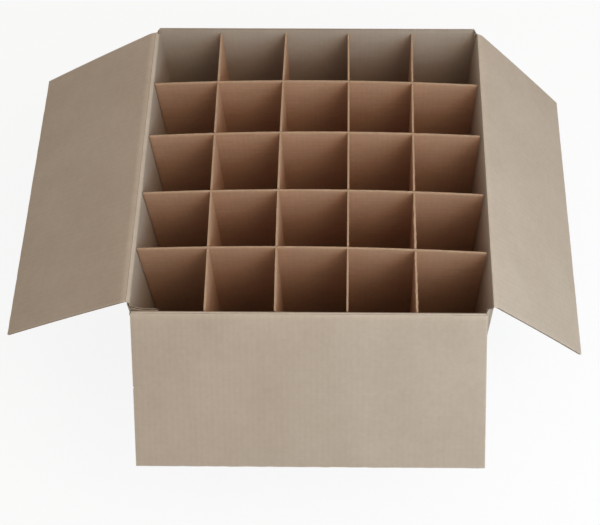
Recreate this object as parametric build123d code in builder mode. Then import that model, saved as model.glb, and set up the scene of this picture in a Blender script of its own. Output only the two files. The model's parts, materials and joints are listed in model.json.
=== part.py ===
# Bottle shipping box: an open corrugated carton with a slotted divider set of 25 cells.
# Frame: +X to the right, +Y to the back, +Z up, origin under the middle of the bottom.
from math import cos, radians, sin
import os

from build123d import *

os.makedirs("parts", exist_ok=True)

# Inside of the box
inner_width = 400.0  # left wall to right wall
inner_depth = 380.0  # front wall to back wall
inner_height = 315.0  # floor to the underside of the shut side flaps

# Corrugated board and its folds
board = 3.0  # thickness of the box's board
fold_inner_radius = 0.5  # inside radius of an upright corner fold
crease_clearance = 0.4  # a flap's crease line stands this far outside the wall
miter_clearance = 0.5  # space between the cut of the wall and that of its flap
flap_stack_clearance = 0.4  # space between the shut side flaps and the flaps over them

# Top flaps
meeting_gap = 12.0  # between the edges of the shut front and back flaps
end_flap_cut = 3.0  # front and back flaps end this far short of the inner corner
side_flap_cut = 10.0  # side flaps end this far short of the inner corner
front_droop = 47.5  # degrees below level at rest
back_droop = 72.0
left_droop = 34.0
right_droop = 51.5

# Glue tab: it belongs to the left wall and is glued inside the front wall
tab_width = 32.0
tab_drop = 5.0  # its upper edge slopes down by this much away from the corner
tab_top_gap = 4.0  # from the side crease down to the upper edge at the corner

# Tape over the bottom seam
tape_thickness = 0.2
tape_width = 50.0
tape_rise = 50.0  # how far its ends run up the side walls

# Divider strips
rows = 5  # cells from front to back
columns = 5  # cells from left to right
strip = 2.5  # thickness of a strip
strip_end_gap = 2.0  # from a strip's end to the wall
headroom = 2.5  # from the strips' upper edges to the underside of the shut side flaps
slot_clearance = 0.4  # on each side of a crossing strip
slot_overcut = 1.0  # each slot is this much deeper than half of the strip

# Levels
seam_z = tape_thickness
side_fold_z = seam_z + board
floor_z = side_fold_z + board
side_crease_z = floor_z + inner_height + board
end_crease_z = side_crease_z + board + flap_stack_clearance

# Spans
half_width = inner_width / 2
half_depth = inner_depth / 2
fold_outer_radius = board + fold_inner_radius
flap_length = half_depth + board + crease_clearance - meeting_gap / 2
end_flap_width = inner_width - 2 * end_flap_cut
side_flap_width = inner_depth - 2 * side_flap_cut


def across(outward):
    """Direction along a wall, square to its outward direction."""
    return (outward[1], -outward[0], 0)


def crease_plane(outward, reach, height, droop=0.0):
    """Section plane at a crease: x points outward and down by droop, y to the inner liner."""
    turn = radians(droop)
    direction = (outward[0] * cos(turn), outward[1] * cos(turn), -sin(turn))
    origin = (outward[0] * reach, outward[1] * reach, height)
    return Plane(origin=origin, x_dir=direction, z_dir=across(outward))


def wall_section(depth):
    """An upright wall below its crease, with a mitred top."""
    outer = -crease_clearance
    inner = outer - board
    with BuildLine() as outline:
        Polyline((outer, outer), (outer, -depth), (inner, -depth), (inner, inner), close=True)
    make_face(outline.edges())


def bottom_section(depth, reach):
    """The foot of a wall, folded inward into a bottom flap that ends at reach."""
    outer = -crease_clearance
    inner = outer - board
    top = -depth + 2 * fold_outer_radius
    with BuildLine() as outline:
        FilletPolyline((outer, top), (outer, -depth), (-reach, -depth), radius=fold_outer_radius)
        Polyline((-reach, -depth), (-reach, board - depth), (inner, board - depth), (inner, top))
        Line((inner, top), (outer, top))
    make_face(outline.edges())


sides = {
    "left": ((-1, 0), half_width, side_crease_z, side_fold_z, side_flap_width),
    "right": ((1, 0), half_width, side_crease_z, side_fold_z, side_flap_width),
    "front": ((0, -1), half_depth, end_crease_z, seam_z, end_flap_width),
    "back": ((0, 1), half_depth, end_crease_z, seam_z, end_flap_width),
}
wall_reach = board + crease_clearance

# Straight part of each wall: from and to, along the direction that across() gives. The front
# wall stops short of the left corner, where the tab folds behind it.
left_to_tab = half_depth - board - fold_inner_radius
wall_spans = {
    "left": (-left_to_tab, half_depth - fold_inner_radius),
    "right": (fold_inner_radius - half_depth, half_depth - fold_inner_radius),
    "front": (fold_inner_radius - half_width, half_width - 2 * fold_inner_radius),
    "back": (fold_inner_radius - half_width, half_width - fold_inner_radius),
}

# Box body: four walls, bottom flaps and glue tab, cut and folded from one sheet
with BuildPart() as box_body:
    for side, (outward, half_span, crease_z, fold_z, flap_width) in sides.items():
        section = crease_plane(outward, half_span + wall_reach, crease_z)
        start, end = wall_spans[side]
        with BuildSketch(section.offset(start)):
            wall_section(crease_z - fold_z - board)
        extrude(amount=end - start)
        with BuildSketch(section):
            bottom_section(crease_z - fold_z, flap_length)
        extrude(amount=flap_width / 2, both=True)

    # Upright corner folds, level with the ends of the slots between the flaps
    notch_z = side_crease_z - crease_clearance - board
    corners = [
        (half_width, -half_depth, -90, 0),
        (half_width, half_depth, 0, 0),
        (-half_width, half_depth, 90, 0),
        (-half_width, -half_depth, 180, board),
    ]
    for corner_x, corner_y, turn, setback in corners:
        centre_x = corner_x - fold_inner_radius * (1 if corner_x > 0 else -1)
        centre_y = corner_y - (fold_inner_radius + setback) * (1 if corner_y > 0 else -1)
        first_side = (cos(radians(turn)), sin(radians(turn)), 0)
        corner_plane = Plane(origin=(centre_x, centre_y, floor_z), x_dir=first_side)
        with BuildSketch(corner_plane):
            with BuildLine():
                outer_fold = CenterArc((0, 0), fold_outer_radius, 0, 90)
                inner_fold = CenterArc((0, 0), fold_inner_radius, 0, 90)
                Line(outer_fold @ 0, inner_fold @ 0)
                Line(outer_fold @ 1, inner_fold @ 1)
            make_face()
        extrude(amount=notch_z - floor_z)

    # Glue tab, its upper edge cut at a slope
    tab_plane = Plane(origin=(-half_width, -half_depth, 0), x_dir=(1, 0, 0), z_dir=(0, -1, 0))
    tab_top = side_crease_z - tab_top_gap
    with BuildSketch(tab_plane):
        with BuildLine():
            Polyline(
                (fold_inner_radius, floor_z + tab_drop),
                (fold_inner_radius, tab_top),
                (tab_width, tab_top - tab_drop),
                (tab_width, floor_z + 2 * tab_drop),
                close=True,
            )
        make_face()
    extrude(amount=-board)

box_body.part.label = "box_body"
export_step(box_body.part, "parts/box_body.step")

# Tape along the bottom seam, its ends turned up on the side walls
tape_half = half_width + board + tape_thickness / 2
with BuildPart() as bottom_tape:
    with BuildSketch(Plane.XZ):
        with BuildLine():
            FilletPolyline(
                (-tape_half, tape_rise),
                (-tape_half, tape_thickness / 2),
                (tape_half, tape_thickness / 2),
                (tape_half, tape_rise),
                radius=fold_outer_radius,
            )
        trace(line_width=tape_thickness)
    extrude(amount=tape_width / 2, both=True)

bottom_tape.part.label = "bottom_tape"
export_step(bottom_tape.part, "parts/bottom_tape.step")

# Top flaps, each with a mitred root beside the crease that it swings about
droops = {
    "left": left_droop,
    "right": right_droop,
    "front": front_droop,
    "back": back_droop,
}
for side, (outward, half_span, crease_z, fold_z, flap_width) in sides.items():
    with BuildPart() as top_flap:
        with BuildSketch(crease_plane(outward, half_span + wall_reach, crease_z, droops[side])):
            with BuildLine():
                Polyline(
                    (miter_clearance, 0),
                    (flap_length, 0),
                    (flap_length, board),
                    (miter_clearance + board, board),
                    close=True,
                )
            make_face()
        extrude(amount=flap_width / 2, both=True)
    top_flap.part.label = "top_flap_" + side
    export_step(top_flap.part, "parts/top_flap_" + side + ".step")

# Divider strips stand on the floor. The rows are slotted from below, the columns from above.
strip_height = inner_height - headroom
slot_width = strip + 2 * slot_clearance
slot_depth = strip_height / 2 + slot_overcut
low_slots_z = floor_z + slot_depth / 2
high_slots_z = floor_z + strip_height - slot_depth / 2
row_pitch = inner_depth / rows
column_pitch = inner_width / columns


def slotted_strip(length, crossings, pitch, slot_centre_z):
    """Section of a strip in its own plane, with a slot at each crossing strip."""
    with Locations((0, floor_z + strip_height / 2)):
        Rectangle(length, strip_height)
    with Locations((0, slot_centre_z)):
        with GridLocations(pitch, 0, crossings, 1):
            Rectangle(slot_width, slot_depth, mode=Mode.SUBTRACT)


for number in range(1, rows):
    row_y = number * row_pitch - half_depth
    with BuildPart() as row_divider:
        with BuildSketch(Plane.XZ.offset(-row_y)):
            slotted_strip(inner_width - 2 * strip_end_gap, columns - 1, column_pitch, low_slots_z)
        extrude(amount=strip / 2, both=True)
    row_divider.part.label = "row_divider_" + str(number)
    export_step(row_divider.part, "parts/row_divider_" + str(number) + ".step")

for number in range(1, columns):
    column_x = number * column_pitch - half_width
    with BuildPart() as column_divider:
        with BuildSketch(Plane.YZ.offset(column_x)):
            slotted_strip(inner_depth - 2 * strip_end_gap, rows - 1, row_pitch, high_slots_z)
        extrude(amount=strip / 2, both=True)
    column_divider.part.label = "column_divider_" + str(number)
    export_step(column_divider.part, "parts/column_divider_" + str(number) + ".step")
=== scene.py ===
import json
import math

import bmesh
import bpy
import numpy as np
from mathutils import Matrix, Vector


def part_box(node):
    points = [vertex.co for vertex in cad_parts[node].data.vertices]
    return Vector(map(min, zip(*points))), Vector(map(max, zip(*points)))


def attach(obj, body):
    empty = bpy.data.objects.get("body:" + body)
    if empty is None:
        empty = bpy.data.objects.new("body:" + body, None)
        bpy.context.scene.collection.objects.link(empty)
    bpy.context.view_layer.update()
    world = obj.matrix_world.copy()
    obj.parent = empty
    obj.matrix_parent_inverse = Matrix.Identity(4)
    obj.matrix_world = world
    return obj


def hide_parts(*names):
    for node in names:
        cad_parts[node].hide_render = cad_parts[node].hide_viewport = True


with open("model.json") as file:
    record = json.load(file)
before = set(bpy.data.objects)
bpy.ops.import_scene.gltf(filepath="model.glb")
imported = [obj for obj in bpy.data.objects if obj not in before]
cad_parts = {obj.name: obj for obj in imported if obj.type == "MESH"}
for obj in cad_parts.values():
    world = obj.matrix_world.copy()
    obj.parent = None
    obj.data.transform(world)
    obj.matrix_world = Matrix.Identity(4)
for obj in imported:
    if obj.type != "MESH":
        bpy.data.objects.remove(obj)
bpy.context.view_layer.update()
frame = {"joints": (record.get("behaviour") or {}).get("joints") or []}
creases = {joint["child"]: joint for joint in frame["joints"]}

# Box body: the walls, bottom flaps and glue tab, cut and folded from one sheet of single-wall
# corrugated kraft board, with its flutes upright. Two facing papers are glued to a fluted one,
# and where the top flaps fold the board is crushed thin into a crease.
mm = 0.001
board = 3 * mm
flute_pitch = 6.5 * mm
facing_share = 0.10  # of the board's thickness, for each facing paper
fluted_share = 0.08  # the same for the fluted paper
washboard = 0.035 * mm  # how far the facings sink between the flutes
# Radius of the ridge along each crease
crease_bead = {"left": 0.7 * mm, "right": 0.7 * mm, "front": 0.8 * mm, "back": 0.4 * mm}
fold_inner = 0.5 * mm
fold_middle = fold_inner + board / 2
FACING, FLUTED, CUT_EDGE = 0, 1, 2  # material slots of every piece of board


class CorrugatedBoard:
    """Layers of paper over one grid of places, as the mesh of one cut and folded piece."""

    def __init__(self, thickness, seed):
        self.thickness = thickness
        self.seed = seed
        self.points, self.faces, self.papers, self.sheet, self.worn = [], [], [], [], []
        self.count = 0

    def add(self, points, faces, papers, sheet, worn):
        self.points.append(points)
        self.faces.append(faces + self.count)
        self.papers.append(papers)
        self.sheet.append(sheet)
        self.worn.append(worn)
        self.count += len(points)

    def layer(self, low, high, exists, papers, sheet, worn):
        """A closed layer between two grids of points, where the cells of exists are true."""
        across, along = low.shape[:2]
        number = np.arange(across * along).reshape(across, along)
        above = number + across * along
        before, after = slice(None, -1), slice(1, None)
        corners = [(before, before), (after, before), (after, after), (before, after)]
        low_faces = np.stack([number[c][exists] for c in corners], 1)
        high_faces = np.stack([above[c][exists] for c in corners], 1)
        ringed = np.pad(exists, 1)
        end_u = ringed[1:-1, :-1] != ringed[1:-1, 1:]
        end_v = ringed[:-1, 1:-1] != ringed[1:, 1:-1]
        rim_u = [number[:-1][end_u], number[1:][end_u], above[1:][end_u], above[:-1][end_u]]
        rim_v = [number[:, :-1][end_v], number[:, 1:][end_v], above[:, 1:][end_v], above[:, :-1][end_v]]
        parts = [low_faces, high_faces, np.stack(rim_u, 1), np.stack(rim_v, 1)]
        kinds = [papers[0], papers[1], CUT_EDGE, CUT_EDGE]
        faces = np.concatenate(parts)
        used = np.unique(faces)
        renumber = np.zeros(2 * across * along, int)
        renumber[used] = np.arange(len(used))
        both = np.concatenate([low.reshape(-1, 3), high.reshape(-1, 3)])
        self.add(
            both[used],
            renumber[faces],
            np.concatenate([np.full(len(p), k) for p, k in zip(parts, kinds)]),
            np.concatenate([sheet.reshape(-1, 3)] * 2)[used],
            np.concatenate([worn.ravel()] * 2)[used],
        )

    def corrugate(self, place, exists_at, facing_u, fluted_u, rows, worn_at):
        """Two facings and the fluted paper. place(u, shares) gives points and flat places."""
        for u, shares, papers in (
            (facing_u, (0.0, facing_share), (FACING, FLUTED)),
            (facing_u, (1.0 - facing_share, 1.0), (FLUTED, FACING)),
            (fluted_u, None, (FLUTED, FLUTED)),
        ):
            wave = np.sin(2 * np.pi * u / flute_pitch)[:, None] * np.ones(rows)[None, :]
            sink = washboard / self.thickness * 0.5
            if shares is None:
                middle = 0.5 + (0.5 - facing_share - fluted_share / 2) * wave
                shares = middle - fluted_share / 2, middle + fluted_share / 2
            elif shares[0] == 0.0:
                shares = sink * (1 + wave), facing_share + sink * (1 + wave)
            else:
                shares = shares[0] - sink * (1 - wave), shares[1] - sink * (1 - wave)
            low, flat = place(u, shares[0])
            high, flat = place(u, shares[1])
            sheet = np.concatenate([flat, np.full(flat.shape[:2] + (1,), self.seed)], 2)
            self.layer(low, high, exists_at(u), papers, sheet, worn_at(u))

    def bead(self, centres, side, up, radius, sheet_u, sheet_v):
        """A thin ridge with eight sides along a crease, its section spanned by side and up."""
        turns = np.arange(8) * np.pi / 4
        ring = np.cos(turns)[:, None] * side + np.sin(turns)[:, None] * up
        points = centres[:, None, :] + radius[:, None, None] * ring[None]
        count = len(centres)
        number = np.arange(count * 8).reshape(count, 8)
        following = np.roll(number, -1, axis=1)
        quads = np.stack([number[:-1], number[1:], following[1:], following[:-1]], -1).reshape(-1, 4)
        caps = [number[end][[0, a, a + 1, a + 2]] for end in (0, -1) for a in (1, 3, 5)]
        sheet = np.zeros((count, 8, 3))
        sheet[..., 0] = sheet_u[:, None]
        sheet[..., 1] = sheet_v
        sheet[..., 2] = self.seed
        faces = np.concatenate([quads, np.array(caps)])
        # The whole ridge takes the rubbed colour: rubbed paper and a painted highlight along the crease
        self.add(
            points.reshape(-1, 3), faces, np.full(len(faces), FACING), sheet.reshape(-1, 3),
            np.ones(count * 8),
        )

    def piece(self, name, materials):
        mesh = bpy.data.meshes.new(name)
        mesh.from_pydata(np.concatenate(self.points), [], np.concatenate(self.faces))
        sheet = mesh.attributes.new("sheet", "FLOAT_VECTOR", "POINT")
        sheet.data.foreach_set("vector", np.concatenate(self.sheet).astype(np.float32).ravel())
        # How much rubbed colour each point takes: rubbed paper, and along the creases a painted highlight
        # as well
        worn = mesh.attributes.new("worn", "FLOAT", "POINT")
        worn.data.foreach_set("value", np.concatenate(self.worn).astype(np.float32))
        mesh.polygons.foreach_set("material_index", np.concatenate(self.papers).astype(np.int32))
        work = bmesh.new()
        work.from_mesh(mesh)
        bmesh.ops.recalc_face_normals(work, faces=work.faces)
        work.to_mesh(mesh)
        work.free()
        mesh.shade_smooth()
        mesh.set_sharp_from_angle(angle=math.radians(38))
        for material in materials:
            mesh.materials.append(material)
        made = bpy.data.objects.new(name, mesh)
        bpy.context.scene.collection.objects.link(made)
        return made


def wander(places, spacing, seed):
    """Random values between -1 and 1, one at every spacing, joined along a line of places."""
    places = np.asarray(places)
    start = places.min() - spacing
    knots = np.arange(start, places.max() + 2 * spacing, spacing)
    heights = np.random.default_rng(seed).uniform(-1, 1, len(knots))
    return np.interp(places, knots, heights)


body_low, body_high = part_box("box_body")
wall_x = body_high.x - board / 2
wall_y = body_high.y - board / 2
tab_width = 31.5 * mm
glue_gap = 0.05 * mm
tab_y = wall_y - board - glue_gap

# The way round the walls in plan, along the middle of the board, clockwise from the tab's end
stretches = []


def add_stretch(kind, start, normal_angle, length):
    """A wall from its start, or a fold from the centre of its arc, and the angle it first faces."""
    start = np.array(start, float)
    stretches.append({"kind": kind, "start": start, "angle": normal_angle, "length": length})


corner_x = wall_x - fold_middle
corner_y = wall_y - fold_middle
tab_corner_y = tab_y - fold_middle
quarter = fold_middle * math.pi / 2
add_stretch("tab", (-corner_x + tab_width, -tab_y), -90, tab_width)
add_stretch("corner", (-corner_x, -tab_corner_y), -90, quarter)
add_stretch("left", (-wall_x, -tab_corner_y), -180, tab_corner_y + corner_y)
add_stretch("corner", (-corner_x, corner_y), -180, quarter)
add_stretch("back", (-corner_x, wall_y), -270, 2 * corner_x)
add_stretch("corner", (corner_x, corner_y), 90, quarter)
add_stretch("right", (wall_x, corner_y), 0, 2 * corner_y)
add_stretch("corner", (corner_x, -corner_y), 0, quarter)
add_stretch("front", (corner_x, -wall_y), -90, 2 * corner_x - fold_inner)
ends = np.cumsum([0] + [stretch["length"] for stretch in stretches])
for stretch, begin in zip(stretches, ends):
    stretch["begin"] = begin


def stretch_at(u):
    """Which stretch each place u along the sheet is on."""
    return np.clip(np.searchsorted(ends, u, side="right") - 1, 0, len(stretches) - 1)


def plan_of(u):
    """Middle of the board and the outward direction, in plan, at each u."""
    middle, outward = np.zeros((len(u), 3)), np.zeros((len(u), 3))
    for index, stretch in enumerate(stretches):
        here = stretch_at(u) == index
        along = u[here] - stretch["begin"]
        angle = np.radians(stretch["angle"]) * np.ones(len(along))
        if stretch["kind"] == "corner":
            angle = angle - along / fold_middle
            middle[here, :2] = stretch["start"] + fold_middle * np.stack([np.cos(angle), np.sin(angle)], 1)
        else:
            travel = np.array([math.sin(angle[0]), -math.cos(angle[0])]) if len(angle) else np.zeros(2)
            middle[here, :2] = stretch["start"] + along[:, None] * travel
        outward[here, 0], outward[here, 1] = np.cos(angle), np.sin(angle)
    return middle, outward


flap_half = {"side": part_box("top_flap_left")[1].y, "end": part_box("top_flap_front")[1].x}
crease_z = {"side": creases["flap_left"]["pos_m"][2], "end": creases["flap_front"]["pos_m"][2]}
fold_z = {"side": body_low.z + board, "end": body_low.z}
hinge_gap = creases["flap_right"]["pos_m"][0] - wall_x  # from a wall's middle out to its crease
notch_drop = 3.4 * mm
notch_z = crease_z["side"] - notch_drop
bottom_gap = 13.5 * mm  # from the middle of the box to the edges of the side bottom flaps
bottom_reach = corner_x - bottom_gap  # how far a bottom flap runs in from its fold
group_of = {"left": "side", "right": "side", "front": "end", "back": "end"}

# Rows of the grid, from the edge of a bottom flap up to the crease
EDGE_ROW, INNER_ROW, FOLD_END, FOLD_START, CREASE_START, NOTCH_TOP, TOP_ROW = 0, 1, 2, 6, 9, 11, 15
body_rows = TOP_ROW + 1
edge_run = 2.5 * mm  # between the first two rows
foot_rise = 3 * mm  # from a bottom fold up to the next row
straight_depth = 60 * mm  # from notch_z down to the next row, above which the tab springs in
notch_rows = np.array([-4, -0.8, 0]) * mm  # heights from a slot's end
crease_depths = np.array([7.0, 5.2, 3.9, 2.8, 1.9, 1.0, 0.5]) * mm  # below the crease line
crease_clearance = 0.4 * mm  # the crease line stands this far outside the wall
wall_back = board + crease_clearance  # from the crease line in to the inner face
cut_share = 0.8  # of the board's thickness that is left at a cut edge
near_zero = 1e-6

# The board thins over this height below each crease
wall_crush = {"left": 4.2 * mm, "right": 14 * mm, "front": 3.4 * mm, "back": 16 * mm}


def wall_inset(depths, side):
    """How far in from the crease line a wall's inner face is, at depths below the crease."""
    left_of_crush = np.clip(1 - depths / wall_crush[side], 0, 1)
    if side in ("right", "back"):
        return wall_back * (1 - left_of_crush)
    return np.minimum(wall_back * (1 - left_of_crush**2), depths)


# A top flap is this much wider at its crease than at its free edge, at its low and high x or y,
# and the whole flap is cut this far off the middle of its wall
root_flare = {"left": (2.5, 6.2), "right": (2.5, 9.0), "front": (-1.0, -3.0), "back": (2.3, 2.3)}
flap_off = {"left": 2.8 * mm, "right": -0.6 * mm, "front": 0.0, "back": 0.0}


def flap_span(stretch):
    """From and to, along the sheet, of the flaps on a wall."""
    side = stretch["kind"]
    half = flap_half[group_of[side]]
    low_flare, high_flare = (flare * mm for flare in root_flare[side])
    start = stretch["start"][1 if side in ("left", "right") else 0]
    if side in ("left", "back"):
        first = flap_off[side] - half - low_flare - start
    else:
        first = start - flap_off[side] - half - high_flare
    first += stretch["begin"]
    return first, first + 2 * half + low_flare + high_flare


# The glue tab's upper edge: rises above notch_z, at distances from its fold. Above the glue it
# springs in from the front wall.
tab_edge = np.array([[0, 5, 11, 17, 22, 28, 31.5], [3.6, 2.6, -0.4, -2.6, -1.4, -1.5, -3.6]]) * mm
tab_spring = 2.6 * mm
spring_run = 8 * mm  # the spring is full this far from the fold
fold_spring = 0.3  # share of it at the fold
tab_foot = 5 * mm  # the tab's foot is cut off by this much at the fold, and twice this at its end
notch_rise = 1.5 * mm  # the slots between the flaps end this far above notch_z
rear_rises = np.array([1.4, 4.8]) * mm  # and this much more at the rear corners, side end and back end
score_share = 0.12  # of the outer half of the board, pressed out along an upright fold
score_width = 2.5 * mm
# How far the corners are pressed in between the flaps: front left, rear left, rear right, front right
corner_pinches = np.array([3.4, 0.5, 1.4, 7.0]) * mm
tab_pinch_run = 9 * mm  # how much of the tab is pressed in with the front left corner
pinch_foot = 180 * mm  # the corners are pressed in above this height
pinch_rise = 130 * mm  # and all the way this much higher


def wall_rows(u, share, index):
    """How far out from the middle of the board, and how high, the rows of one stretch are."""
    stretch = stretches[index]
    kind = stretch["kind"]
    group = group_of.get(kind, "side")
    start_z = fold_z[group] + board + fold_inner
    depth = (share - 0.5) * board
    out = depth.copy()
    height = np.zeros((len(u), body_rows))
    height[:, FOLD_START + 1] = start_z + foot_rise
    height[:, FOLD_START + 2] = notch_z - straight_depth
    turns = np.linspace(math.pi / 2, 0, FOLD_START - FOLD_END + 1)
    for row, turn in zip(range(FOLD_END, FOLD_START + 1), turns):
        out[:, row] = -fold_middle + (fold_middle + depth[:, row]) * math.cos(turn)
        height[:, row] = start_z - (fold_middle + depth[:, row]) * math.sin(turn)
    out[:, EDGE_ROW] = -fold_middle - bottom_reach
    out[:, INNER_ROW] = -fold_middle - (bottom_reach - edge_run)
    height[:, EDGE_ROW] = start_z - fold_middle - depth[:, EDGE_ROW] * cut_share
    height[:, INNER_ROW] = start_z - fold_middle - depth[:, INNER_ROW]
    height[:, CREASE_START:NOTCH_TOP + 1] = notch_z + notch_rows + notch_rise
    height[:, NOTCH_TOP + 1:] = notch_z + notch_rise
    out[:, NOTCH_TOP] *= cut_share
    if kind in group_of:
        first, last = flap_span(stretch)
        creased = ((u > first - near_zero) & (u < last + near_zero))[:, None]
        rows = slice(CREASE_START, TOP_ROW + 1)
        inner = -wall_inset(crease_depths, kind)
        crushed = inner + share[:, rows] * (-crease_clearance - inner) + hinge_gap
        out[:, rows] = np.where(creased, crushed, out[:, rows])
        height[:, rows] = np.where(creased, crease_z[group] - crease_depths, height[:, rows])
    if kind == "tab":
        to_fold = (ends[1] - u)[:, None]
        height[:, FOLD_START:FOLD_START + 2] += tab_foot * (1 + to_fold / stretch["length"])
        height[:, CREASE_START:] += np.interp(to_fold, tab_edge[0], tab_edge[1]) - notch_rise
        sprung = np.clip((height - (notch_z - straight_depth)) / straight_depth, 0, 1) ** 2
        out = out - tab_spring * sprung * np.clip(to_fold / spring_run, fold_spring, 1)
    near = np.minimum(np.abs(u - stretch["begin"]), np.abs(u - ends[index + 1]))
    if kind == "corner":
        near = near * 0
    scored = score_share * np.exp(-((near / score_width) ** 2))
    return np.where(out > 0, out * (1 - scored[:, None]), out), height


def press_corner(u, points, height, index):
    """Presses a corner in between its flaps, and raises the slot's end where it is a rear one."""
    corner, before, after = stretches[index], stretches[index - 1], stretches[index + 1]
    start = flap_span(before)[1] if before["kind"] in group_of else ends[index] - tab_pinch_run
    stop = flap_span(after)[0]
    inside = np.clip((u - start) / (stop - start), 0, 1)
    if corner["start"][1] > 0:
        rises = rear_rises if before["kind"] == "left" else rear_rises[::-1]
        notched = (u > start + near_zero) & (u < stop - near_zero)
        height[notched, NOTCH_TOP:] += np.interp(inside[notched], [0, 1], rises)[:, None]
    pressed = corner_pinches[index // 2] * np.sin(np.pi * inside)[:, None] ** 2
    pressed = pressed * np.clip((height - pinch_foot) / pinch_rise, 0, 1)
    diagonal = math.radians(corner["angle"] - 45)
    points[..., 0] -= pressed * math.cos(diagonal)
    points[..., 1] -= pressed * math.sin(diagonal)


def body_place(u, share):
    """Points of the body and its flat coordinates, for places u and shares of the thickness."""
    middle, outward = plan_of(u)
    which = stretch_at(u)
    out = np.zeros((len(u), body_rows))
    height = np.zeros((len(u), body_rows))
    for index in range(len(stretches)):
        here = which == index
        if here.any():
            out[here], height[here] = wall_rows(u[here], share[here], index)
    points = middle[:, None, :] + out[..., None] * outward[:, None, :]
    for index, stretch in enumerate(stretches):
        if stretch["kind"] == "corner":
            press_corner(u, points, height, index)
    points[..., 2] = height
    return points, np.stack([u[:, None] * np.ones(body_rows), height - out], 2)


hair = 0.01 * mm  # the cut between a crease and the slot beside it


def body_exists(u):
    """Which cells of the body's grid hold board."""
    middle_u = (u[1:] + u[:-1]) / 2
    which = stretch_at(middle_u)
    cells = np.zeros((len(middle_u), body_rows - 1), bool)
    cells[:, FOLD_START:NOTCH_TOP] = True
    for index, stretch in enumerate(stretches):
        if stretch["kind"] not in group_of:
            continue
        first, last = flap_span(stretch)
        here = which == index
        cells[here & (middle_u > first) & (middle_u < last)] = True
        seam = here & (np.minimum(np.abs(middle_u - first), np.abs(middle_u - last)) < 2 * hair)
        cells[seam, CREASE_START:] = False
        cells[seam, :FOLD_START] = False
    return cells


slot_worn = 0.9
# Along each crease the rubbed colour is rubbed paper and a painted highlight, lightest at the crease line;
# none at the back
crease_rub_and_highlight = {"left": 0.8, "right": 0.8, "front": 0.8, "back": 0.0}


def body_rub_and_highlight(u):
    """Where the body takes the rubbed colour: rubbed paper at cut edges, and rubbed paper with a painted
    highlight along the creases.
    """
    worn = np.zeros((len(u), body_rows))
    worn[:, EDGE_ROW] = 1
    worn[:, NOTCH_TOP:] = slot_worn
    for stretch in stretches:
        if stretch["kind"] in group_of:
            first, last = flap_span(stretch)
            here = (u > first - near_zero) & (u < last + near_zero)
            worn[here, CREASE_START:] = np.linspace(0, crease_rub_and_highlight[stretch["kind"]], len(crease_depths))
    return worn


closest_places = 0.3 * mm
beside_fold = 1.2 * mm
corner_steps = 6


def places_between(start, end, step, extra):
    """Even places from start to end, with the extra ones put in."""
    count = max(2, int(round((end - start) / step)) + 1)
    extra = np.array([place for place in extra if start <= place <= end])
    even = np.linspace(start, end, count)
    even = even[np.min(np.abs(even[:, None] - extra[None, :]), axis=1) > closest_places]
    return np.unique(np.concatenate([even, extra, [start, end]]))


def body_places(step):
    """Places round the body, with one at each fold and two at each end of a crease."""
    special = []
    for index, stretch in enumerate(stretches):
        begin, end = stretch["begin"], ends[index + 1]
        special += [begin, end]
        if stretch["kind"] == "corner":
            special += list(np.linspace(begin, end, corner_steps + 1)[1:-1])
        elif stretch["kind"] != "tab":
            special += [begin + beside_fold, end - beside_fold]
        if stretch["kind"] in group_of:
            for edge, sign in zip(flap_span(stretch), (-1, 1)):
                special += [edge, edge + sign * hair]
    return places_between(0, ends[-1], step, special)


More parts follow.
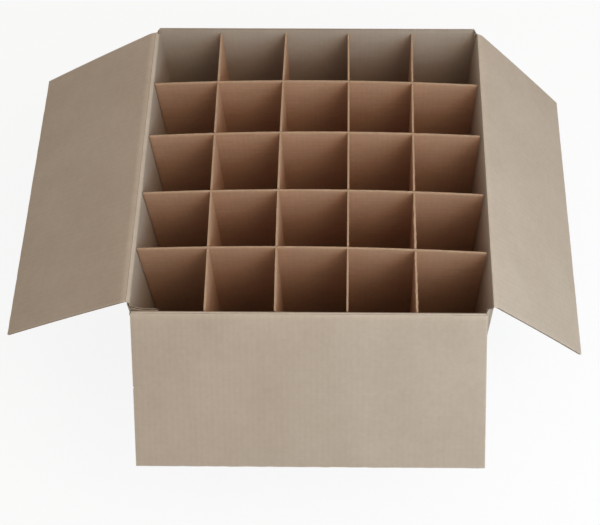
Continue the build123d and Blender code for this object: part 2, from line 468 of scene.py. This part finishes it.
def kraft_group():
    """Node group for kraft paper: fibres, clouds, streaks along the paper and marks of the flutes."""
    group = bpy.data.node_groups.new("kraft_paper", "ShaderNodeTree")
    for in_out, kind, names in (
        ("INPUT", "NodeSocketColor", ("Dark", "Light", "Rubbed")),
        ("INPUT", "NodeSocketFloat", ("Clouds", "Streaks", "Flutes", "Fibres", "Wear")),
        ("OUTPUT", "NodeSocketColor", ("Color",)),
        ("OUTPUT", "NodeSocketFloat", ("Roughness", "Height")),
    ):
        for name in names:
            group.interface.new_socket(name, in_out=in_out, socket_type=kind)
    nodes, links = group.nodes, group.links
    given = nodes.new("NodeGroupInput")
    result = nodes.new("NodeGroupOutput")
    sheet = nodes.new("ShaderNodeAttribute")
    sheet.attribute_name = "sheet"
    worn = nodes.new("ShaderNodeAttribute")
    worn.attribute_name = "worn"
    piece_shift = 7.0  # how far apart the noise of one piece and the next is

    def math_node(operation, first, second=None, clamp=False):
        node = nodes.new("ShaderNodeMath")
        node.operation = operation
        node.use_clamp = clamp
        for socket, value in zip(node.inputs, (first, second)):
            if value is None:
                continue
            if isinstance(value, (int, float)):
                socket.default_value = value
            else:
                links.new(value, socket)
        return node.outputs[0]

    def noise(scale, detail, roughness, seed):
        """Noise over the flat sheet, with scale in features per metre across and along the flutes."""
        stretched = nodes.new("ShaderNodeVectorMath")
        stretched.operation = "MULTIPLY_ADD"
        stretched.inputs[1].default_value = (scale[0], scale[1], piece_shift)
        stretched.inputs[2].default_value = (seed * 3.7, seed * 5.1, seed * 1.3)
        links.new(sheet.outputs["Vector"], stretched.inputs[0])
        node = nodes.new("ShaderNodeTexNoise")
        node.inputs["Scale"].default_value = 1.0
        node.inputs["Detail"].default_value = detail
        node.inputs["Roughness"].default_value = roughness
        links.new(stretched.outputs[0], node.inputs["Vector"])
        return math_node("SUBTRACT", node.outputs["Fac"], 0.5)

    def mix_colour(factor, first, second):
        node = nodes.new("ShaderNodeMix")
        node.data_type = "RGBA"
        links.new(factor, node.inputs["Factor"])
        links.new(first, node.inputs["A"])
        links.new(second, node.inputs["B"])
        return node.outputs["Result"]

    clouds = noise((16, 11), detail=4, roughness=0.6, seed=1)
    mottle = noise((170, 150), detail=3, roughness=0.6, seed=2)
    streaks = noise((14, 420), detail=3, roughness=0.65, seed=3)
    fibres = noise((900, 3600), detail=3, roughness=0.7, seed=4)
    uneven = noise((60, 9), detail=3, roughness=0.6, seed=5)
    # Parts of the patterns in the tone, in the rubbed places and painted highlights, in the roughness and
    # in the relief
    even_flutes, mottled_part, least_rub_and_highlight = 0.35, 0.6, 0.9
    least_rough, rough_fibres = 0.86, 0.25
    fibre_relief, mottle_relief = 0.7, 0.5
    split = nodes.new("ShaderNodeSeparateXYZ")
    links.new(sheet.outputs["Vector"], split.inputs[0])
    wave = math_node("SINE", math_node("MULTIPLY", split.outputs["X"], 2 * math.pi / flute_pitch))
    flutes = math_node("MULTIPLY", wave, math_node("ADD", uneven, even_flutes))
    total = math_node("MULTIPLY", clouds, given.outputs["Clouds"])
    for part, weight in (
        (mottle, math_node("MULTIPLY", given.outputs["Clouds"], mottled_part)),
        (streaks, given.outputs["Streaks"]),
        (flutes, given.outputs["Flutes"]),
        (fibres, given.outputs["Fibres"]),
    ):
        total = math_node("ADD", total, math_node("MULTIPLY", part, weight))
    light_part = math_node("ADD", total, 0.5, clamp=True)
    tone = mix_colour(light_part, given.outputs["Dark"], given.outputs["Light"])
    # The rubbed colour goes where the mask asks: rubbed paper at cut edges, and rubbed paper with a
    # painted highlight along the creases
    ragged = math_node("MULTIPLY", math_node("ADD", mottle, least_rub_and_highlight), worn.outputs["Fac"])
    rubbed_and_highlight_part = math_node("MULTIPLY", ragged, given.outputs["Wear"], clamp=True)
    links.new(mix_colour(rubbed_and_highlight_part, tone, given.outputs["Rubbed"]), result.inputs["Color"])
    matt = math_node("ADD", math_node("MULTIPLY", fibres, rough_fibres), least_rough)
    links.new(matt, result.inputs["Roughness"])
    raised = math_node("MULTIPLY", fibres, fibre_relief)
    relief = math_node("ADD", raised, math_node("MULTIPLY", mottle, mottle_relief))
    links.new(relief, result.inputs["Height"])
    return group


kraft_paper = kraft_group()


def new_material(name):
    material = bpy.data.materials.new(name)
    material.use_nodes = True
    return material, material.node_tree.nodes, material.node_tree.links


def add_bump(nodes, links, height, strength, distance):
    """Relief on the material's shader."""
    bump = nodes.new("ShaderNodeBump")
    bump.inputs["Strength"].default_value = strength
    bump.inputs["Distance"].default_value = distance
    links.new(height, bump.inputs["Height"])
    links.new(bump.outputs["Normal"], nodes["Principled BSDF"].inputs["Normal"])


def paper_material(name, dark, light, rubbed, relief, **amounts):
    """Matt paper with the kraft pattern. Colours are linear."""
    material, nodes, links = new_material(name)
    shader = nodes["Principled BSDF"]
    shader.inputs["Specular IOR Level"].default_value = 0.2
    pattern = nodes.new("ShaderNodeGroup")
    pattern.node_tree = kraft_paper
    for key, colour in {"Dark": dark, "Light": light, "Rubbed": rubbed}.items():
        pattern.inputs[key].default_value = (*colour, 1)
    for key, amount in amounts.items():
        pattern.inputs[key.capitalize()].default_value = amount
    links.new(pattern.outputs["Color"], shader.inputs["Base Color"])
    links.new(pattern.outputs["Roughness"], shader.inputs["Roughness"])
    add_bump(nodes, links, pattern.outputs["Height"], relief, fibre_height)
    return material


fibre_height = 0.15 * mm
fluted_look = {"clouds": 0.5, "streaks": 0.4, "flutes": 0.0, "fibres": 0.6, "wear": 0.2, "relief": 0.6}
cut_look = {"clouds": 0.8, "streaks": 0.2, "flutes": 0.0, "fibres": 0.9, "wear": 0.6, "relief": 0.9}
# The facing's rubbed colour is lighter than its light tone; along the creases it is a painted highlight on
# the crushed ridge as well as rubbed paper
box_facing = paper_material(
    "box_facing", dark=(0.345, 0.268, 0.20), light=(0.53, 0.437, 0.36), rubbed=(0.60, 0.51, 0.42),
    clouds=0.5, streaks=0.12, flutes=0.05, fibres=0.4, wear=0.5, relief=0.5,
)
box_fluted = paper_material(
    "box_fluted", dark=(0.31, 0.235, 0.165), light=(0.48, 0.38, 0.29), rubbed=(0.52, 0.42, 0.33),
    **fluted_look,
)
box_cut = paper_material(
    "box_cut_edge", dark=(0.34, 0.26, 0.18), light=(0.54, 0.44, 0.33), rubbed=(0.58, 0.48, 0.37),
    **cut_look,
)
box_board_papers = [box_facing, box_fluted, box_cut]

bead_places = 90
bead_dents = 0.12  # share of its radius that the ridge loses here and there
bead_spacing = 6 * mm
bead_seed = 11
facing_places = body_places(flute_pitch / 4)
fluted_places = body_places(flute_pitch / 6)
box_body = CorrugatedBoard(board, 0.0)
box_body.corrugate(body_place, body_exists, facing_places, fluted_places, body_rows, body_rub_and_highlight)
for stretch in stretches:
    if stretch["kind"] in group_of:
        first, last = flap_span(stretch)
        bead_u = np.linspace(first, last, bead_places)
        middle, outward = plan_of(bead_u)
        centres = middle + outward * hinge_gap
        centres[:, 2] = crease_z[group_of[stretch["kind"]]]
        dents = bead_dents * np.abs(wander(bead_u, bead_spacing, bead_seed))
        radius = crease_bead[stretch["kind"]] * (1 - dents)
        box_body.bead(centres, outward[0], np.array([0, 0, 1.0]), radius, bead_u, centres[0, 2])
body_piece = box_body.piece("carton_body", box_board_papers)
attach(body_piece, "carton")
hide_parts("box_body")

# Top flaps: four leaves of the same sheet, folded outward on their creases. The root of each
# is crushed thin beside its crease, and its other three edges are die cut, with the board
# pressed together a little along them.
root_places = np.array([0.0, 0.09, 0.2, 0.34, 0.51, 0.73, 1.0])  # shares of the crushed root
root_gap = 0.04 * mm  # between the ridge on the crease and the root
flap_crush = {"left": 9 * mm, "right": 8 * mm, "front": 7.5 * mm, "back": 20 * mm}  # length of the root
flap_widening = {"left": 0.0, "right": 0.0, "front": 0.8 * mm, "back": 0.0}  # at each side
# How far a flap bends toward its inner face, halfway along and at one corner of its free edge
flap_bow = {"left": 0.9 * mm, "right": 0.7 * mm, "front": -0.9 * mm, "back": -0.8 * mm}
flap_twist = {"left": 0.3 * mm, "right": -0.3 * mm, "front": 0.3 * mm, "back": -0.3 * mm}
# Rubbed paper and a painted highlight along each flap's root, lightest at the crease and fading within a
# few millimetres
root_rub_and_highlight = {"left": 0.5, "right": 0.9, "front": 1.4, "back": 0.0}
root_rub_and_highlight_reach = 2 * mm
edge_worn_reach = 0.7 * mm
edge_pinch = 0.22  # share of the thickness that is pressed out of a cut edge
pinch_reach = 1 * mm
free_edge_wave = 0.25 * mm
free_edge_depth = 1 * mm
wave_spacing = 9 * mm
bend_count = 8
last_bend = 3 * mm  # from the free edge to the last row where the flap bends
end_row = 0.8 * mm  # and to the row beside it
near_sides = np.array([0, 0.5, 1.2, 2.5]) * mm  # places beside a cut side

# A nick in one side edge of a flap, at this distance from the crease
nick_at = {"front": 90 * mm}
nick_depth = 1.3 * mm
nick_half_width = 0.9 * mm
nick_fade = 2.5 * mm  # how far from the edge the sheet is still drawn in
nick_rows = np.array([-1.6, -0.8, 0, 0.8, 1.6]) * mm


def make_flap(side, seed):
    joint = creases["flap_" + side]
    droop = math.radians(joint["range_deg"][1] - 180)
    hinge = np.array(joint["pos_m"])
    outward = np.array([hinge[0], hinge[1], 0]) / math.hypot(hinge[0], hinge[1])
    hinge = hinge + flap_off[side] * np.abs(outward[[1, 0, 2]])
    along_crease = np.array([outward[1], -outward[0], 0])
    down_flap = outward * math.cos(droop) + np.array([0, 0, -math.sin(droop)])
    to_inner = outward * math.sin(droop) + np.array([0, 0, math.cos(droop)])
    length = (hinge[2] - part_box("top_flap_" + side)[0].z) / math.sin(droop)
    half = flap_half[group_of[side]] + flap_widening[side]
    flares = [flare * mm for flare in root_flare[side]][::round(along_crease.sum())]
    crush = flap_crush[side]
    root_start = crease_bead[side] + root_gap
    root_runs = root_start + root_places * (crush - root_start)
    root_heights = board * (1 - (1 - root_runs / crush) ** 2)
    bend_rows = np.linspace(crush, length - last_bend, bend_count)[1:]
    nick = nick_at.get(side)
    if nick:
        bend_rows = np.sort(np.concatenate([bend_rows, nick + nick_rows]))
    run = np.concatenate([root_runs, bend_rows, [length - end_row, length]])
    inner_height = np.concatenate([root_heights, np.full(len(bend_rows) + 2, board)])
    rows = len(run)

    def pinch(u):
        """Share of the full thickness, less near the cut edges."""
        near_side = np.exp(-(half - np.abs(u)) / pinch_reach)[:, None]
        near_end = np.exp(-(length - run) / pinch_reach)[None, :]
        return 1 - edge_pinch * np.clip(near_side + near_end, 0, 1)

    def place(u, share):
        toward_inner = (0.5 + (0.5 - share) * pinch(u)) * inner_height
        flare = np.interp(u, [-half, 0, half], [-flares[0], 0, flares[1]])
        across = u[:, None] + flare[:, None] * (1 - run / length)
        if nick:
            dent = nick_depth * np.exp(-(((run - nick) / nick_half_width) ** 2))
            across = across - dent[None, :] * np.exp(-(half - u) / nick_fade)[:, None]
        at_free_edge = run > length - free_edge_depth
        down = run + wander(u, wave_spacing, seed)[:, None] * free_edge_wave * at_free_edge
        reach = np.clip((run - crush) / (length - crush), 0, 1)
        bow = flap_bow[side] * np.sin(np.pi * reach) + flap_twist[side] * (u[:, None] / half) * reach**2
        lift = toward_inner + bow
        points = hinge + across[..., None] * along_crease
        points = points + down[..., None] * down_flap + lift[..., None] * to_inner
        return points, np.stack([across, run * np.ones((len(u), 1))], 2)

    def exists_at(u):
        return np.ones((len(u) - 1, rows - 1), bool)

    def worn_at(u):
        # Rubbed paper at the cut edges, and rubbed paper with a painted highlight along the crease
        from_edge = np.minimum((half - np.abs(u))[:, None], (length - run)[None, :])
        at_crease = root_rub_and_highlight[side] * np.exp(-run / root_rub_and_highlight_reach)
        return np.clip(np.exp(-from_edge / edge_worn_reach) + at_crease, 0, 1)

    leaf = CorrugatedBoard(board, seed)
    special = list(half - near_sides) + list(near_sides - half)
    places = places_between(-half, half, flute_pitch / 6, special)
    leaf.corrugate(place, exists_at, places, places, rows, worn_at)
    made = leaf.piece("flap_" + side + "_leaf", box_board_papers)
    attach(made, "flap_" + side)
    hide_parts("top_flap_" + side)


for seed, side in enumerate(flap_crush, 1):
    make_flap(side, seed)

# Tape: one strip of clear brown packing tape over the seam of the bottom flaps, turned up
# on both side walls. Its ends were torn off against the saw teeth of a dispenser.
tape_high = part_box("bottom_tape")[1]
tape_thickness = 0.2 * mm
tooth = 1.6 * mm
tape_turn = 3.5 * mm  # radius of its turn up onto a side wall
tape_seed = 9.0
flat_start, flat_count, rise_count = 12 * mm, 24, 9  # how the tape's section is divided


def tape_path():
    """Middle of the tape's section, from its end on the left wall to its end on the right one."""
    under = tape_thickness / 2
    beside = tape_high.x - under
    turn_x, turn_z = beside - tape_turn, under + tape_turn
    path = [(0.0, under)]
    path += [(x, under) for x in np.linspace(flat_start, turn_x, flat_count)]
    for turn in np.radians([15, 30, 45, 60, 75, 90]):
        path.append((turn_x + tape_turn * math.sin(turn), turn_z - tape_turn * math.cos(turn)))
    path += [(beside, z) for z in np.linspace(turn_z, tape_high.z - tooth, rise_count)[1:]]
    path = np.array(path + [(beside, tape_high.z)])
    mirrored = path[:0:-1] * np.array([-1, 1])
    return np.concatenate([mirrored, path])


def make_tape():
    path = tape_path()
    half_y = tape_high.y
    across = np.linspace(-half_y, half_y, int(round(2 * half_y / (tooth / 2))) + 1)
    step = np.gradient(path, axis=0)
    step /= np.linalg.norm(step, axis=1)[:, None]
    normal = np.stack([step[:, 1], -step[:, 0]], 1)
    zigzag = np.where(np.arange(len(across)) % 2 == 0, 0.0, -tooth)
    layers = []
    for share in (-0.5, 0.5):
        points = np.zeros((len(path), len(across), 3))
        shifted = path + share * tape_thickness * normal
        points[..., 0], points[..., 2] = shifted[:, 0:1], shifted[:, 1:2]
        points[..., 1] = across
        for end in (0, -1):
            points[end, :, 2] += zigzag
        layers.append(points)
    steps = np.linalg.norm(np.diff(path, axis=0, prepend=path[:1]), axis=1)
    flat = np.full(layers[0].shape, tape_seed)
    flat[..., 0] = np.cumsum(steps)[:, None]
    flat[..., 1] = across
    exists = np.ones((len(path) - 1, len(across) - 1), bool)
    tape = CorrugatedBoard(tape_thickness, tape_seed)
    tape.layer(*layers, exists, (FACING, FACING), flat, np.zeros(flat.shape[:2]))
    return tape


def tape_material():
    """Glossy brown film with bubbles of uneven glue under it."""
    material, nodes, links = new_material("brown_tape")
    shader = nodes["Principled BSDF"]
    sheet = nodes.new("ShaderNodeAttribute")
    sheet.attribute_name = "sheet"
    bubbles = nodes.new("ShaderNodeTexNoise")
    bubbles.inputs["Scale"].default_value = 90
    bubbles.inputs["Detail"].default_value = 5
    links.new(sheet.outputs["Vector"], bubbles.inputs["Vector"])
    tone = nodes.new("ShaderNodeValToRGB")
    tone.color_ramp.elements[0].position = 0.35
    tone.color_ramp.elements[0].color = (0.33, 0.21, 0.115, 1)
    tone.color_ramp.elements[1].position = 0.7
    tone.color_ramp.elements[1].color = (0.46, 0.32, 0.19, 1)
    links.new(bubbles.outputs["Fac"], tone.inputs["Fac"])
    links.new(tone.outputs["Color"], shader.inputs["Base Color"])
    gloss = nodes.new("ShaderNodeMapRange")
    gloss.inputs["To Min"].default_value = 0.22
    gloss.inputs["To Max"].default_value = 0.42
    links.new(bubbles.outputs["Fac"], gloss.inputs["Value"])
    links.new(gloss.outputs["Result"], shader.inputs["Roughness"])
    add_bump(nodes, links, bubbles.outputs["Fac"], 0.25, 0.1 * mm)
    return material


tape_piece = make_tape().piece("seam_tape", [tape_material()] * 3)
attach(tape_piece, "carton")
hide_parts("bottom_tape")

# Divider strips: eight strips of browner board fill the box, slotted half through and pushed
# into each other. The rows are slotted from below and the columns from above, and the whole
# grid bows a little toward the back.
row_low, row_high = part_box("row_divider_1")
column_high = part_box("column_divider_1")[1]
strip_thickness = row_high.y - row_low.y
end_stretch = 1.2 * mm  # the strips' own ends press this much closer to the walls
row_half = row_high.x + end_stretch
column_half = column_high.y + end_stretch
strip_foot, strip_top = row_low.z, row_high.z
slot_clearance = 0.4 * mm
slot_half = strip_thickness / 2 + slot_clearance
slot_meet = (strip_foot + strip_top) / 2
slot_spare = 1 * mm  # each slot is this much deeper than half of the strip
row_ys = [sum(corner.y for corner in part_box(f"row_divider_{n}")) / 2 for n in (1, 2, 3, 4)]
column_xs = [sum(corner.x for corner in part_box(f"column_divider_{n}")) / 2 for n in (1, 2, 3, 4)]
# How far each row stands toward the back at its left end, middle and right end, and each column
# to the right at its front end, middle and back end. All stand true at the floor.
row_leans = np.array([[2.4, 5.6, -0.4], [-1.4, 3.8, -1.7], [0.8, 7.4, 2.6], [0.6, 5.9, 0.2]]) * mm
column_leans = np.array([[3.3, 0.1, -1.4], [1.3, -0.9, 0.9], [1.5, 1.4, 0.1], [-1.2, -1.2, 0.8]]) * mm
front_lean, back_lean = 0.4, 0.3  # share of the nearest row's lean, at the front and back walls
even_lean = 0.25  # share of a lean that grows evenly with height, where the rest grows faster

divider_facing = paper_material(
    "divider_facing", dark=(0.39, 0.207, 0.122), light=(0.64, 0.39, 0.248), rubbed=(0.62, 0.425, 0.285),
    clouds=0.5, streaks=0.5, flutes=0.05, fibres=0.4, wear=0.5, relief=0.6,
)
divider_fluted = paper_material(
    "divider_fluted", dark=(0.16, 0.09, 0.05), light=(0.28, 0.17, 0.10), rubbed=(0.36, 0.26, 0.18),
    **fluted_look,
)
divider_cut = paper_material(
    "divider_cut_edge", dark=(0.32, 0.20, 0.12), light=(0.52, 0.36, 0.24), rubbed=(0.54, 0.38, 0.26),
    **cut_look,
)


def lean(places, places_half, across, strips, leans, at_low_end, at_high_end):
    """Lean at each place along strips that bow, evened out between one strip and the next."""
    share = places / places_half
    bowed = []
    for low, middle, high in leans:
        at_low, at_high = low * (share**2 - share) / 2, high * (share**2 + share) / 2
        bowed.append(at_low + middle * (1 - share**2) + at_high)
    bowed = [bowed[0] * at_low_end] + bowed + [bowed[-1] * at_high_end]
    total = np.zeros(places.shape)
    for number, strip_lean in enumerate(bowed):
        weight = np.interp(across, strips, np.eye(len(strips))[number])
        total += weight * strip_lean
    return total


def grid_shift(points):
    """Bows the strips where they stand: most at their upper edges, nothing at the floor."""
    x, y, z = points[..., 0], points[..., 1], points[..., 2]
    rise = np.clip((z - strip_foot) / (strip_top - strip_foot), 0, 1)
    rise = even_lean * rise + (1 - even_lean) * rise**2
    across_x, across_y = [-row_half, *column_xs, row_half], [-column_half, *row_ys, column_half]
    moved = points.copy()
    moved[..., 0] += rise * lean(y, column_half, x, across_x, column_leans, 0.0, 0.0)
    moved[..., 1] += rise * lean(x, row_half, y, across_y, row_leans, front_lean, back_lean)
    return moved


# Rows of a strip's grid above its foot and below its upper edge, and the row where slots end
foot_rows = np.array([0, 1, 4]) * mm
top_rows = np.array([14, 4, 1.5, 0]) * mm
MEET_ROW = 4
# Shares of the thickness that are pressed out along the edges, and how far in from them
top_press, foot_press, end_press, most_pressed = 0.3, 0.2, 0.25, 0.4
top_press_reach, cut_press_reach = 1.5 * mm, 0.8 * mm
top_worn, below_top_worn, foot_worn = 1.0, 0.45, 0.7
swell_spacing, edge_spacing, knife_spacing = 3.4 * mm, 5 * mm, 1.7 * mm
swell_seed, edge_seed, knife_seed = 40, 60, 80  # added to each strip's own seed
swell_growth = 0.5 / mm  # share of the thickness that a swelling adds, by its size
swell_shift = 0.35  # share of a swelling that moves the edge sideways
edge_wave = 0.12 * mm  # the upper edge's own rise and fall, where it isn't ragged
ragged_wave = 0.35  # what raggedness adds to it, as a share of itself
rough_span = 60 * mm  # raggedness goes from its front share to its back one this near the middle
rear_reach_fade = 4 * mm
rear_reach_drop = 10 * mm  # what reaches to the back wall is this high, below the upper edge
rear_rise = 0.5  # share of the reach by which it also stands up
end_places = 1 * mm  # the last places beside a strip's ends
pressed_shares = (0.07, 0.5, 0.93)  # of the thickness, across a pressed upper edge
pressed_sink, pressed_wave, pressed_groove, pressed_depth = 0.14 * mm, 0.12 * mm, 0.08 * mm, 1.1 * mm


def make_strip(name, origin, facts, rough, seed):
    """One divider strip. rough is how ragged its upper edge is, where the share of it is 1."""
    half, crossings, slotted_below = facts["half"], facts["crossings"], facts["slotted_below"]
    meet = slot_meet + slot_spare if slotted_below else slot_meet - slot_spare
    between = [(strip_foot + meet) / 2, meet, (strip_top + meet) / 2]
    heights = np.concatenate([strip_foot + foot_rows, between, strip_top - top_rows])
    rows = len(heights)
    special = [half, -half, half - end_places, end_places - half]
    for crossing in crossings:
        special += [crossing - slot_half, crossing + slot_half]
    places = places_between(-half, half, flute_pitch / 6, special)

    def place(u, share):
        ragged = np.interp(u, [-rough_span, rough_span], facts["rough_shares"]) * rough
        near_top = np.exp(-(strip_top - heights) / top_press_reach)
        near_foot = np.exp(-(heights - strip_foot) / cut_press_reach)
        near_end = np.exp(-(half - np.abs(u)) / cut_press_reach)[:, None]
        pressed = top_press * near_top + foot_press * near_foot + end_press * near_end
        depth = (share - 0.5) * strip_thickness * (1 - np.clip(pressed, 0, most_pressed))
        swell = wander(u, swell_spacing, seed + swell_seed)[:, None] * ragged[:, None] * near_top
        depth = depth * (1 + swell_growth * np.abs(swell)) + swell_shift * swell
        wave = wander(u, edge_spacing, seed + edge_seed) * (edge_wave + ragged_wave * ragged)
        z = heights + wave[:, None] * near_top
        z[:, 1:-1] = np.clip(z[:, 1:-1], strip_foot, strip_top)
        across = u[:, None] * np.ones(rows)
        to_back = np.exp(-(half - u) / rear_reach_fade)[:, None]
        up = np.clip(1 - (strip_top - heights) / rear_reach_drop, 0, 1)
        reach = facts["rear_reach"] * to_back * up
        points = origin + (across + reach)[..., None] * facts["direction"]
        points = points + depth[..., None] * facts["side"]
        points[..., 2] = z + rear_rise * reach
        return grid_shift(points), np.stack([across, z], 2)

    def exists_at(u):
        middle = (u[1:] + u[:-1]) / 2
        cells = np.ones((len(middle), rows - 1), bool)
        slot_rows = slice(None, MEET_ROW) if slotted_below else slice(MEET_ROW, None)
        for crossing in crossings:
            cells[np.abs(middle - crossing) < slot_half, slot_rows] = False
        return cells

    def worn_at(u):
        worn = np.zeros((len(u), rows))
        worn[:, -1], worn[:, -2], worn[:, 0] = top_worn, below_top_worn, foot_worn
        return worn

    strip = CorrugatedBoard(strip_thickness, seed)
    strip.corrugate(place, exists_at, places, places, rows, worn_at)

    # Along the upper edge the knife has pressed the flutes shut with torn paper
    shut = [place(places, np.full((1, 1), share))[0][:, -1] for share in pressed_shares]
    shut = np.array(shut).transpose(1, 0, 2)
    sunk = pressed_sink + pressed_wave * (1 + wander(places, knife_spacing, seed + knife_seed))
    crown = shut.copy()
    crown[:, :, 2] -= sunk[:, None]
    crown[:, 1, 2] -= pressed_groove
    base = shut.copy()
    base[:, :, 2] -= pressed_depth
    across_edge = np.repeat(exists_at(places)[:, -1:], 2, axis=1)
    flat = np.stack([places[:, None] * np.ones(3), shut[..., 2], np.full(shut.shape[:2], seed)], 2)
    strip.layer(base, crown, across_edge, (CUT_EDGE, CUT_EDGE), flat, np.ones(shut.shape[:2]))
    made = strip.piece(name + "_strip", [divider_facing, divider_fluted, divider_cut])
    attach(made, "carton")
    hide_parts(name)


to_right, to_back = np.array([1.0, 0, 0]), np.array([0, 1.0, 0])
row_facts = {
    "half": row_half, "crossings": column_xs, "slotted_below": True, "direction": to_right,
    "side": to_back, "rough_shares": (1.0, 1.0), "rear_reach": 0.0,
}
# The front half of a column's edge is the more ragged one
column_facts = {
    "half": column_half, "crossings": row_ys, "slotted_below": False, "direction": to_back,
    "side": -to_right, "rough_shares": (1.0, 0.25), "rear_reach": 2 * mm,
}
row_rough = 0.1 * mm
column_roughs = np.array([0.15, 0.35, 0.15, 1.0]) * mm
row_seed, column_seed = 20, 30
for number, y in enumerate(row_ys):
    make_strip(f"row_divider_{number + 1}", y * to_back, row_facts, row_rough, row_seed + number)
for number, x in enumerate(column_xs):
    name, rough = f"column_divider_{number + 1}", column_roughs[number]
    make_strip(name, x * to_right, column_facts, rough, column_seed + number)

# Floor and light: a pale floor that the box stands on, which the camera sees nearly white, a
# cool lamp and a warm one to the front right, a warm one overhead, a cool one near the right
# side, and a pale sky.
half_floor = 3.0
floor_white, sky_white = 0.88, 1.0  # how much of each the camera sees as plain white
white = (1, 1, 1, 1)


def seen_white(nodes, links, lit, seen, amount, output):
    """Shades as lit, and as seen by amount where a camera, glossy or transmission ray looks."""
    path = nodes.new("ShaderNodeLightPath")
    largest = path.outputs["Is Camera Ray"]
    for name in ("Is Glossy Ray", "Is Transmission Ray"):
        bigger = nodes.new("ShaderNodeMath")
        bigger.operation = "MAXIMUM"
        links.new(largest, bigger.inputs[0])
        links.new(path.outputs[name], bigger.inputs[1])
        largest = bigger.outputs[0]
    scaled = nodes.new("ShaderNodeMath")
    scaled.operation = "MULTIPLY"
    links.new(largest, scaled.inputs[0])
    scaled.inputs[1].default_value = amount
    mixed = nodes.new("ShaderNodeMixShader")
    links.new(scaled.outputs[0], mixed.inputs["Fac"])
    links.new(lit.outputs[0], mixed.inputs[1])
    links.new(seen.outputs[0], mixed.inputs[2])
    links.new(mixed.outputs[0], output.inputs["Surface"])


floor_material, floor_nodes, floor_links = new_material("pale_floor")
floor_nodes.clear()
pale = floor_nodes.new("ShaderNodeBsdfDiffuse")
pale.inputs["Color"].default_value = (0.82, 0.82, 0.82, 1)
glow = floor_nodes.new("ShaderNodeEmission")
glow.inputs["Color"].default_value = white
glow.inputs["Strength"].default_value = 1.0
floor_out = floor_nodes.new("ShaderNodeOutputMaterial")
seen_white(floor_nodes, floor_links, pale, glow, floor_white, floor_out)
floor_mesh = bpy.data.meshes.new("floor")
floor_corners = [(-1, -1), (1, -1), (1, 1), (-1, 1)]
floor_places = [(x * half_floor, y * half_floor, 0) for x, y in floor_corners]
floor_mesh.from_pydata(floor_places, [], [(0, 1, 2, 3)])
floor_mesh.materials.append(floor_material)
floor = bpy.data.objects.new("floor", floor_mesh)
floor.location.z = -0.1 * mm  # clear of the tape's underside
bpy.context.scene.collection.objects.link(floor)

world = bpy.data.worlds.new("studio")
bpy.context.scene.world = world
world.use_nodes = True
sky_nodes, sky_links = world.node_tree.nodes, world.node_tree.links
sky_nodes.clear()
sky_light = sky_nodes.new("ShaderNodeBackground")
sky_light.inputs["Color"].default_value = (1.0, 0.98, 0.95, 1)
sky_light.inputs["Strength"].default_value = 0.415
sky_seen = sky_nodes.new("ShaderNodeBackground")
sky_seen.inputs["Color"].default_value = white
sky_seen.inputs["Strength"].default_value = 1.0
sky_out = sky_nodes.new("ShaderNodeOutputWorld")
seen_white(sky_nodes, sky_links, sky_light, sky_seen, sky_white, sky_out)


def soft_lamp(name, aim, azimuth, elevation, distance, size, power, colour):
    """A square lamp that faces the box. Azimuth 0 is in front, and 90 is to the right."""
    aim = Vector(aim)
    side, up = math.radians(azimuth), math.radians(elevation)
    away = Vector((math.sin(side) * math.cos(up), -math.cos(side) * math.cos(up), math.sin(up)))
    lamp = bpy.data.lights.new(name, "AREA")
    lamp.shape = "SQUARE"
    lamp.size = size
    lamp.energy = power
    lamp.color = colour
    placed = bpy.data.objects.new(name, lamp)
    placed.location = aim + away * distance
    placed.rotation_euler = (-away).to_track_quat("-Z", "Y").to_euler()
    bpy.context.scene.collection.objects.link(placed)


box_middle = (0, 0, 0.25)
right_front = (0.15, -0.12, 0.25)
soft_lamp(
    "window", box_middle, azimuth=34, elevation=42, distance=2.2, size=0.9, power=7.4,
    colour=(0.84, 0.94, 1.0),
)
soft_lamp(
    "ceiling", box_middle, azimuth=56, elevation=60, distance=2.2, size=0.9, power=12.0,
    colour=(1.0, 0.82, 0.62),
)
soft_lamp(
    "overhead", box_middle, azimuth=60, elevation=85, distance=2.4, size=2.0, power=12.4,
    colour=(1.0, 0.90, 0.77),
)
soft_lamp(
    "fill", right_front, azimuth=55, elevation=33, distance=0.9, size=0.7, power=4.6,
    colour=(0.56, 0.80, 1.0),
)

# Camera: above and in front of the box, looking down at it, a little turned and rolled.
camera_place = Vector((0.05067, -0.72770, 1.57731))
camera_pitch, camera_yaw, camera_roll = 57.521, 1.365, -0.908
focal_length_px = 1224.36
picture_width, picture_height = 600, 525
centre_px = (340.8, 112.7)
camera_data = bpy.data.cameras.new("camera")
camera_data.sensor_width = 36
camera_data.lens = focal_length_px * camera_data.sensor_width / picture_width
camera_data.shift_x = (picture_width / 2 - centre_px[0]) / picture_width
camera_data.shift_y = (centre_px[1] - picture_height / 2) / picture_width
camera_data.clip_start = 0.05
camera = bpy.data.objects.new("camera", camera_data)
camera.matrix_world = (
    Matrix.Translation(camera_place)
    @ Matrix.Rotation(math.radians(camera_yaw), 4, "Z")
    @ Matrix.Rotation(math.radians(90 - camera_pitch), 4, "X")
    @ Matrix.Rotation(math.radians(camera_roll), 4, "Z")
)
bpy.context.scene.collection.objects.link(camera)
bpy.context.scene.camera = camera
bpy.context.scene.view_settings.view_transform = "Standard"

bpy.context.view_layer.update()
